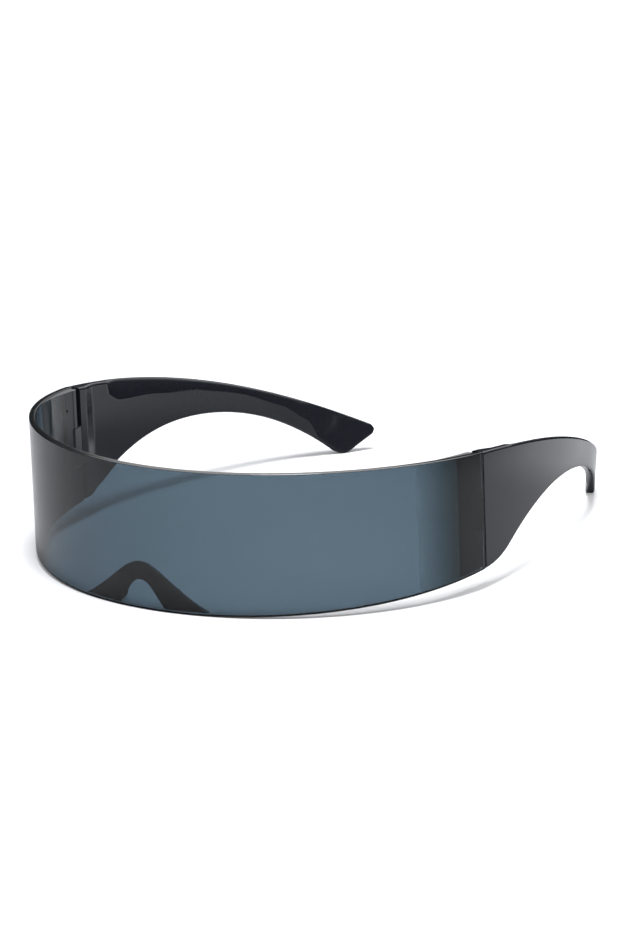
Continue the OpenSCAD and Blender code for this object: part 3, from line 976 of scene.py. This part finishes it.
class GLASSES_OT_pins(Operator):
    """Build both hinge pins with their domed heads"""

    bl_idname = "glasses.pins"
    bl_label = "Hinge pins"

    def execute(self, context):
        wanted = settings()
        lens, pin = wanted.lens, wanted.pin
        place = pin_place(lens, wanted.hinge)[0]
        bottom = lens.bottom_rise + pin.inset
        top = lens.height - lens.top_fall - pin.inset - pin.cap
        head, shank = pin.head_radius, pin.radius
        dome_turns = [math.radians(degrees) for degrees in (4, 20, 36, 52, 68)]
        dome = [(head * math.sin(turn), bottom + pin.dome * (1 - math.cos(turn))) for turn in dome_turns]
        dimple = [(head * reach, bottom + pin.dimple) for reach in (pin.dimple_flat, pin.dimple_width)]
        rim = [(head, bottom + pin.dome), (head, bottom + pin.head_height - pin.chamfer),
               (head - pin.chamfer, bottom + pin.head_height)]
        body = [(shank, bottom + pin.head_height), (shank, top - pin.chamfer), (shank - pin.chamfer, top)]
        dome = [spot for spot in dome if spot[0] > head * pin.dimple_width]
        points, faces = skin(lathe(dimple + dome + rim + body))
        placed = [point + Vector((place.x, place.y, 0)) for point in points]
        material = steel_material()
        for side, sign in SIDES.items():
            piece = make_piece(f"Hinge_pin_{side}", [(placed, faces)], stand(), material, sign < 0)
            even_shading(piece)
            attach(piece, "front")
            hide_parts(f"hinge_pin_{side}")
        return {"FINISHED"}


# Nose piece


def bezier(points, part):
    """Point of the cubic curve that four points lead, a part of its way along."""
    start, after_start, before_stop, stop = points
    rest = 1 - part
    return (rest**3 * start + 3 * part * rest**2 * after_start + 3 * part * part * rest * before_stop
            + part**3 * stop)


def bezier_height(points, across):
    """Height of a curve that runs steadily outwards or inwards, at a distance from the middle."""
    low, high = (0, 1) if points[-1].x > points[0].x else (1, 0)
    for _ in range(HALVINGS):
        middle = (low + high) / 2
        if bezier(points, middle).x < across:
            low = middle
        else:
            high = middle
    return bezier(points, low).y


def bell_rings(lens, nose):
    """Sections of the flange from one end of the bell to the other."""
    top_run, foot_run, foot_rise = nose.bell_shares
    wide, tall = nose.half_width, nose.height
    bell = [Vector((0, tall)), Vector((wide * top_run, tall)),
            Vector((wide * foot_run, tall * foot_rise)), Vector((wide, nose.clear))]
    foot_run, foot_rise, top_run = nose.arch_shares
    wide, tall = nose.arch_half_width, nose.arch_height
    arch = [Vector((wide, nose.clear)), Vector((wide * foot_run, tall * foot_rise)),
            Vector((wide * top_run, tall)), Vector((0, tall))]
    outer = lens.radius - lens.thickness - nose.bond_gap
    inner = outer - nose.thickness
    rings = []
    end = nose.half_width - nose.edge_radius
    places = spread(0, end, nose.station)
    for across in [-place for place in places[:0:-1]] + places:
        low = bezier_height(arch, abs(across)) if abs(across) < nose.arch_half_width else nose.clear
        high = bezier_height(bell, abs(across))
        front = lens.radius - circle_rise(outer, across)
        back = lens.radius - circle_rise(inner, across)
        rings.append(rounded_ring(lambda depth, height: Vector((across, front + depth, height)),
                                  lambda depth: low, lambda depth: high, back - front, nose.edge_radius))
    return rings


def pad_rings(lens, nose):
    """Sections of a nose pad from the flange to its round rear end."""
    lean = math.atan2(nose.pad_splay, nose.pad_reach)
    root = Vector((nose.arch_half_width + nose.pad_thickness / 2,
                   lens.thickness + nose.bond_gap + nose.thickness))
    run = Vector((math.sin(lean), math.cos(lean)))
    side = Vector((run.y, -run.x))
    end_radius = nose.pad_height / 2
    end_power = 8  # how late a pad narrows to its end
    end_least = 0.04  # what is left there, so that the last section stays open
    rounding = 0.45 * nose.pad_thickness
    bend = nose.pad_reach + root.y - end_radius
    last = nose.pad_reach / run.y - nose.pad_thickness / 6
    places = spread(-nose.thickness / 2, last, nose.station)
    rings = []
    for length_on in places:
        middle = root + run * length_on
        rise = circle_rise(end_radius, max(0, middle.y - bend))
        left = max(end_least, 1 - max(0, length_on / last) ** end_power)
        width = nose.pad_thickness * math.sqrt(left)
        start = middle - side * width / 2

        def place(depth, height):
            point = start + side * depth
            return Vector((point.x, point.y, height))

        low = nose.clear + end_radius - rise
        high = nose.clear + end_radius + rise
        rings.append(rounded_ring(place, lambda depth: low, lambda depth: high, width, rounding))
    return rings


class GLASSES_OT_nose(Operator):
    """Build the nose piece: a flange on the lens and two soft pads"""

    bl_idname = "glasses.nose"
    bl_label = "Nose piece"

    def execute(self, context):
        lens, nose = settings().lens, settings().nose
        points, faces = skin(pad_rings(lens, nose))
        mirrored = [Vector((-point.x, point.y, point.z)) for point in points]
        parts = [skin(bell_rings(lens, nose)), (points, faces), (mirrored, faces)]
        piece = make_piece("Nose_piece", parts, stand(), rubber_material())
        even_shading(piece)
        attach(piece, "front")
        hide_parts("nose_piece")
        return {"FINISHED"}


# Materials


def start_group(name, inputs, outputs):
    """Shader group with named sockets: its tree, what it is given and what it puts out."""
    tree = bpy.data.node_groups.new(name, "ShaderNodeTree")
    add_sockets(tree, "INPUT", inputs)
    add_sockets(tree, "OUTPUT", outputs)
    return tree, tree.nodes.new("NodeGroupInput").outputs, tree.nodes.new("NodeGroupOutput").inputs


def handled_surface(name):
    """Roughness that changes gently where fingers and cloths have been."""
    sockets = dict.fromkeys(("Scale", "Clean", "Handled"), "NodeSocketFloat")
    tree, given, result = start_group(name, sockets, {"Roughness": "NodeSocketFloat"})
    spot = tree.nodes.new("ShaderNodeTexCoord").outputs["Object"]
    cloud = add_node(tree, "ShaderNodeTexNoise", {"Vector": spot, "Scale": given["Scale"], "Detail": 3})
    spread_out = add_node(tree, "ShaderNodeMapRange", {
        "Value": cloud.outputs["Fac"], "From Min": 0.35, "From Max": 0.7,
        "To Min": given["Clean"], "To Max": given["Handled"]})
    feed(tree, result["Roughness"], spread_out.outputs["Result"])
    return tree


def moulded_grain(name):
    """Height of the fine skin that a mould or a tool leaves, and the same grain for a mix of tones."""
    tree, given, result = start_group(name, {"Scale": "NodeSocketFloat", "Stretch": "NodeSocketVector"},
                                      {"Height": "NodeSocketFloat", "Colour Mix": "NodeSocketFloat"})
    spot = tree.nodes.new("ShaderNodeTexCoord").outputs["Object"]
    stretched = add_node(tree, "ShaderNodeVectorMath", {0: spot, 1: given["Stretch"]},
                         operation="MULTIPLY")
    grain = add_node(tree, "ShaderNodeTexNoise", {
        "Vector": stretched.outputs[0], "Scale": given["Scale"], "Detail": 4})
    for output in ("Height", "Colour Mix"):
        feed(tree, result[output], grain.outputs["Fac"])
    return tree


def use_group(tree, name, builder, values):
    """Node of a shader group that all materials share and that is built once."""
    group = bpy.data.node_groups.get(name) or builder(name)
    return add_node(tree, "ShaderNodeGroup", values, node_tree=group)


def new_material(name):
    material = bpy.data.materials.new(name)
    material.use_nodes = True
    tree = material.node_tree
    return material, tree, node_of(tree, "BSDF_PRINCIPLED")


def add_handling(tree, shader, scale, clean, handled):
    node = use_group(tree, "Handled surface", handled_surface,
                     {"Scale": scale, "Clean": clean, "Handled": handled})
    feed(tree, shader.inputs["Roughness"], node.outputs["Roughness"])


def add_grain(tree, shader, scale, stretch, depth):
    """Fine grain in the normal. It returns the mix that the tones follow."""
    node = use_group(tree, "Moulded grain", moulded_grain, {"Scale": scale, "Stretch": stretch})
    bump = add_node(tree, "ShaderNodeBump", {
        "Strength": 1.0, "Distance": depth, "Height": node.outputs["Height"]})
    feed(tree, shader.inputs["Normal"], bump.outputs["Normal"])
    return node.outputs["Colour Mix"]


def clear_plastic(name, tint, density, shadow, bend=1.5):
    """Clear plastic that takes light by its depth, and whose shadow on the floor stays light."""
    material, tree, shader = new_material(name)
    fill(tree, shader, {"Base Color": WHITE, "Transmission Weight": 1, "IOR": bend})
    add_handling(tree, shader, scale=60, clean=0.0, handled=0.02)
    through = add_node(tree, "ShaderNodeBsdfTransparent", {"Color": (shadow, shadow, shadow, 1)})
    path = tree.nodes.new("ShaderNodeLightPath")
    surface = add_node(tree, "ShaderNodeMixShader", {
        0: path.outputs["Is Shadow Ray"], 1: shader.outputs[0], 2: through.outputs[0]})
    depth = add_node(tree, "ShaderNodeVolumeAbsorption", {"Color": (*tint, 1), "Density": density})
    fill(tree, tree.get_output_node("ALL"), {"Surface": surface.outputs[0], "Volume": depth.outputs[0]})
    return material


def grained_surface(name, tones, handling, grain, bend=1.5, metallic=0.0):
    """Opaque material that drifts between two tones, with handled gloss and a fine grain, built once.

    Handling and grain hold what add_handling and add_grain take.
    """
    ready = bpy.data.materials.get(name)
    if ready:
        return ready
    material, tree, shader = new_material(name)
    fill(tree, shader, {"IOR": bend, "Metallic": metallic})
    add_handling(tree, shader, **handling)
    mix = add_grain(tree, shader, **grain)
    feed(tree, shader.inputs["Base Color"], mixed_colour(tree, mix, *tones))
    return material


def toned(plain, gain):
    """A colour and a paler or darker tone of it."""
    return tuple(plain), tuple(gain * c for c in plain)


def lens_material():
    finish = settings().finish
    return clear_plastic("Tinted lens", finish.lens_tint, finish.lens_density, finish.lens_shadow)


def dark_edge_material():
    """Polished cut edges of the lens, which look black because little light comes out through them."""
    finish = settings().finish
    tones = tuple(finish.cut_edge), tuple(finish.cut_edge_pale)
    return grained_surface("Dark lens edge", tones, dict(scale=200, clean=0.03, handled=0.07),
                           dict(scale=1200, stretch=EVEN, depth=2e-6))


def rough_top_painted_light_material():
    """Top of the hinge parts, which keeps the rough skin of the mould, with a paler colour that is painted
    light from the overhead lamp.
    """
    return grained_surface("Rough top, painted light", toned(settings().finish.top_painted_light, 0.8),
                           dict(scale=300, clean=0.35, handled=0.5),
                           dict(scale=1500, stretch=EVEN, depth=4e-6))


def plastic_material():
    return grained_surface("Black moulded plastic", toned(settings().finish.plastic, 1.4),
                           dict(scale=45, clean=0.06, handled=0.12),
                           dict(scale=900, stretch=EVEN, depth=2e-6))


def rubber_material():
    return grained_surface("Satin nose rubber", toned(settings().finish.rubber, 1.5),
                           dict(scale=160, clean=0.16, handled=0.24),
                           dict(scale=2500, stretch=EVEN, depth=6e-6), bend=1.45)


def steel_material():
    pale, dark = toned(settings().finish.steel, 0.85)
    return grained_surface("Turned steel", (dark, pale), dict(scale=400, clean=0.22, handled=0.36),
                           dict(scale=1500, stretch=(0.4, 0.4, 12), depth=3e-6), metallic=1.0)


def smoke_material():
    """Smoke plastic. Its faces on the lens are glued to it, so only the other faces have a full mirror."""
    finish = settings().finish
    material = clear_plastic("Smoke plastic", finish.smoke_tint, finish.smoke_density,
                             finish.smoke_shadow, bend=1.2)
    tree = material.node_tree
    free = add_node(tree, "ShaderNodeAttribute", {}, attribute_name="Free")
    fill(tree, node_of(tree, "BSDF_PRINCIPLED"),
         {"Coat Weight": free.outputs["Fac"], "Coat Roughness": 0.02})
    return material


# Stage


def seen_by_eye(tree):
    """One for rays from the camera, from a reflection or through a lens, zero for light."""
    path = tree.nodes.new("ShaderNodeLightPath")
    either = math_node(tree, "MAXIMUM", path.outputs["Is Camera Ray"], path.outputs["Is Glossy Ray"])
    return math_node(tree, "MAXIMUM", either, path.outputs["Is Transmission Ray"])


def seen_in_mirror(tree):
    """One for rays that have met a mirroring face on their way, also when a lens came after it."""
    path = tree.nodes.new("ShaderNodeLightPath")
    met = math_node(tree, "MINIMUM", path.outputs["Glossy Depth"], 1.0)
    straight = math_node(tree, "MAXIMUM", path.outputs["Is Glossy Ray"],
                         path.outputs["Is Transmission Ray"])
    return times(tree, straight, met)


def mirrored_pool(tree, studio, spot, side, back, reach):
    """Brightness of the floor as polished faces mirror it: a painted pool of light, with painted shadow in
    the hoop and by the right temple and a painted brighter patch behind the left temple.
    """
    edge = (studio.pool_radius, studio.pool_radius + studio.pool_fade)
    pool = between(tree, reach, edge, studio.pool_light, 0.0)
    bright = times(tree, between(tree, back, studio.bright_back),
                   between(tree, side, studio.bright_side, 0.0, studio.pool_bright - 1))
    # Painted shadow of the lens inside the hoop, then painted shadow beside the right temple.
    hoop = between(tree, compare(tree, "DISTANCE", spot, studio.hoop_centre), studio.hoop_reach,
                   studio.hoop_shadow_share, 1.0)
    shade = times(tree, between(tree, side, studio.shade_start),
                  between(tree, side, studio.shade_end, 1.0, 0.0), between(tree, back, studio.shade_back))
    return times(tree, pool, math_node(tree, "ADD", bright, 1.0), hoop,
                 between(tree, shade, (0.0, 1.0), 1.0, studio.pool_shade))


def floor_material(studio):
    """Pale floor that looks white, and that polished faces mirror as a dimmer pool round the glasses."""
    material, tree, shader = new_material("Pale floor")
    mirrored = seen_in_mirror(tree)
    direct = math_node(tree, "SUBTRACT", 1.0, mirrored)
    spot = tree.nodes.new("ShaderNodeTexCoord").outputs["Object"]
    split = add_node(tree, "ShaderNodeSeparateXYZ", {0: spot})
    side, back = split.outputs["X"], split.outputs["Y"]
    reach = compare(tree, "DISTANCE", spot, studio.pool_centre)
    pool = mirrored_pool(tree, studio, spot, side, back, reach)
    level = math_node(tree, "ADD", direct, times(tree, mirrored, pool))
    gain = times(tree, between(tree, side, studio.gain_side),
                 between(tree, back, studio.gain_back, 0.0, studio.floor_gain))
    plain = between(tree, reach, studio.white_reach, studio.floor_lift, studio.white_light)
    lift = times(tree, seen_by_eye(tree), direct, math_node(tree, "ADD", plain, gain))
    fill(tree, shader, {
        "Base Color": mixed_colour(tree, level, (0, 0, 0), studio.floor_colour), "Roughness": 1,
        "Specular IOR Level": 0, "Emission Color": WHITE, "Emission Strength": lift})
    return material


def mirrored_sky(tree, studio):
    """Sky that polished faces mirror: dark, with a pale backdrop, grey walls and a soft box overhead."""
    spot = tree.nodes.new("ShaderNodeTexCoord").outputs["Generated"]
    height = add_node(tree, "ShaderNodeSeparateXYZ", {0: spot}).outputs["Z"]
    turn = studio.camera_azimuth
    behind = compare(tree, "DOT_PRODUCT", spot, (-math.sin(turn), math.cos(turn), 0))
    beside = compare(tree, "DOT_PRODUCT", spot, (math.cos(turn), math.sin(turn), 0))
    backdrop = times(tree, between(tree, behind, studio.backdrop_turn),
                     between(tree, beside, studio.backdrop_side),
                     between(tree, height, studio.backdrop_foot))
    box = between(tree, height, studio.box_edge, 0.0, studio.box_light)
    walls = between(tree, height, studio.wall_foot, 0.0, studio.wall_light)
    level = math_node(tree, "ADD", math_node(tree, "ADD", backdrop, box),
                      math_node(tree, "ADD", walls, studio.dark_sky))
    return plain_light(tree, level)


def plain_light(tree, strength):
    return add_node(tree, "ShaderNodeBackground", {"Color": WHITE, "Strength": strength}).outputs[0]


def set_world(studio):
    """White to the eye, a dim fill to matt surfaces, and a studio of its own to polished ones."""
    world = bpy.data.worlds.new("Studio")
    bpy.context.scene.world = world
    world.use_nodes = True
    tree = world.node_tree
    to_eye = fill(tree, node_of(tree, "BACKGROUND"), {"Color": WHITE, "Strength": 1.0})
    seen = add_node(tree, "ShaderNodeMixShader", {
        0: seen_by_eye(tree), 1: plain_light(tree, studio.sky_light), 2: to_eye.outputs[0]})
    mirrored = add_node(tree, "ShaderNodeMixShader", {
        0: seen_in_mirror(tree), 1: seen.outputs[0], 2: mirrored_sky(tree, studio)})
    feed(tree, node_of(tree, "OUTPUT_WORLD").inputs["Surface"], mirrored.outputs[0])


def add_lamp(name, power, size, place, target):
    lamp = bpy.data.lights.new(name, "AREA")
    lamp.shape = "DISK"
    lamp.size = size
    lamp.energy = power
    holder = bpy.data.objects.new(name, lamp)
    holder.location = place
    holder.rotation_euler = (Vector(target) - Vector(place)).to_track_quat("-Z", "Y").to_euler()
    bpy.context.scene.collection.objects.link(holder)


def add_camera(studio):
    camera = bpy.data.cameras.new("Camera")
    camera.lens = studio.focal
    camera.sensor_width = 36
    camera.clip_end = 20
    holder = bpy.data.objects.new("Camera", camera)
    turn = (Matrix.Rotation(studio.camera_azimuth, 4, "Z")
            @ Matrix.Rotation(math.pi / 2 - studio.camera_elevation, 4, "X")
            @ Matrix.Rotation(studio.camera_roll, 4, "Z"))
    back = turn @ Vector((0, 0, studio.camera_distance))
    holder.matrix_world = Matrix.Translation(Vector(studio.aim) + back) @ turn
    bpy.context.scene.collection.objects.link(holder)
    bpy.context.scene.camera = holder


class GLASSES_OT_stage(Operator):
    """Set the pale floor, the studio light and the camera"""

    bl_idname = "glasses.stage"
    bl_label = "Stage"

    def execute(self, context):
        studio = settings().studio
        half = studio.floor_half
        corners = [(-half, -half, 0), (half, -half, 0), (half, half, 0), (-half, half, 0)]
        mesh = bpy.data.meshes.new("Floor")
        mesh.from_pydata(corners, [], [(0, 1, 2, 3)])
        floor = add_object("Floor", mesh, floor_material(studio), sharp=30)
        set_world(studio)
        add_lamp("Overhead lamp", studio.key_power, studio.key_size, studio.key_place, (0, 0, 0))
        add_camera(studio)
        context.scene.view_settings.view_transform = "Standard"
        return {"FINISHED"}


class GLASSES_PT_panel(Panel):
    """Sizes, colours and builders of the glasses"""

    bl_idname = "GLASSES_PT_panel"
    bl_label = "Shield sunglasses"
    bl_space_type = "VIEW_3D"
    bl_region_type = "UI"
    bl_category = "Glasses"

    def draw(self, context):
        wanted = settings()
        for title, group in (("Lens", wanted.lens), ("Hinges", wanted.hinge), ("Pins", wanted.pin),
                             ("Temples", wanted.temple), ("Nose piece", wanted.nose),
                             ("Finish", wanted.finish), ("Studio", wanted.studio)):
            box = self.layout.box()
            box.label(text=title)
            for key in group.bl_rna.properties.keys():
                if key not in ("rna_type", "name"):
                    box.prop(group, key)
        for operator in OPERATORS:
            self.layout.operator(operator.bl_idname)


OPERATORS = (GLASSES_OT_lens, GLASSES_OT_temples, GLASSES_OT_endpieces, GLASSES_OT_pins,
             GLASSES_OT_nose, GLASSES_OT_stage)
CLASSES = (LensSizes, HingeSizes, PinSizes, TempleSizes, NoseSizes, Finish, Studio, GlassesSettings,
           *OPERATORS, GLASSES_PT_panel)


def register():
    for item in CLASSES:
        bpy.utils.register_class(item)
    bpy.types.Scene.shield_glasses = PointerProperty(type=GlassesSettings)


def unregister():
    del bpy.types.Scene.shield_glasses
    for item in reversed(CLASSES):
        bpy.utils.unregister_class(item)


def main():
    register()
    bpy.ops.glasses.lens()
    bpy.ops.glasses.temples()
    bpy.ops.glasses.endpieces()
    bpy.ops.glasses.pins()
    bpy.ops.glasses.nose()
    bpy.ops.glasses.stage()


if __name__ == "__main__":
    main()
